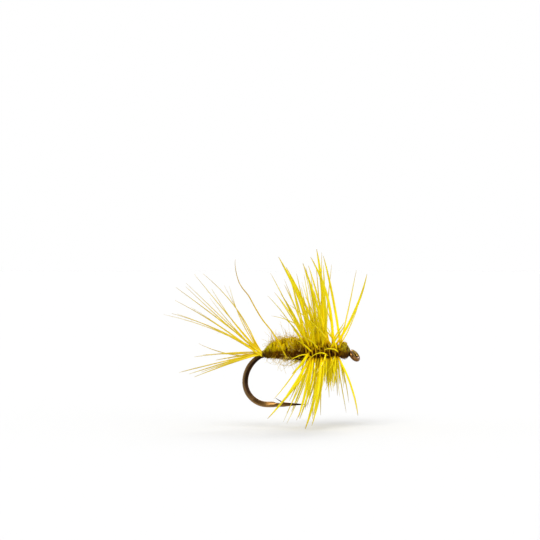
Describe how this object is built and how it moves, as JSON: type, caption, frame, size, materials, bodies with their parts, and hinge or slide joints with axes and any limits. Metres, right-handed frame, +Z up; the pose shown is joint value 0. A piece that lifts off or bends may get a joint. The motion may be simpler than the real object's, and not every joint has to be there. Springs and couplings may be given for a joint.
{
  "type": "dry fly",
  "caption": "Dry fly for fly fishing: bronzed barbed down-eye hook with a fanned barb tail, an olive dubbed body and a yellow wound hackle behind a small thread head.",
  "frame": {"origin": "centre of the hook eye", "axes": "+X forward along the straight shank, from the bend to the eye; +Z up, away from the hook point; +Y to the fly's left; the hook lies in the XZ plane"},
  "size_m": [0.0165, 0.0131, 0.0144],
  "materials": {
    "bronzed_steel": "bronzed, satin",
    "olive_thread": "waxed thread turns",
    "golden_barb": "dyed feather barb, slightly glossy",
    "olive_fur": "fuzzy dubbed fur",
    "yellow_hackle": "dyed feather, slightly glossy"
  },
  "bodies": {
    "root": {"hook": "bronzed_steel", "thread_underbody": "olive_thread", "tail_tie_in_wraps": "olive_thread", "tail_barb_01": "golden_barb", "tail_barb_02": "golden_barb", "tail_barb_03": "golden_barb", "tail_barb_04": "golden_barb", "tail_barb_05": "golden_barb", "tail_barb_06": "golden_barb", "tail_barb_07": "golden_barb", "tail_barb_08": "golden_barb", "tail_barb_09": "golden_barb", "tail_barb_10": "golden_barb", "tail_barb_11": "golden_barb", "tail_barb_12": "golden_barb", "tail_barb_13": "golden_barb", "tail_barb_14": "golden_barb", "tail_barb_15": "golden_barb", "tail_barb_16": "golden_barb", "tail_barb_17": "golden_barb", "tail_barb_18": "golden_barb", "tail_barb_19": "golden_barb", "tail_barb_20": "golden_barb", "tail_barb_21": "golden_barb", "tail_barb_22": "golden_barb", "tail_barb_23": "golden_barb", "stray_barb": "golden_barb", "abdomen_dubbing": "olive_fur", "hackle_tie_in_wraps": "olive_thread", "thorax_dubbing": "olive_fur", "hackle_feather": "yellow_hackle", "head_wraps": "olive_thread", "whip_finish_wraps": "olive_thread"}
  },
  "joints": []
}
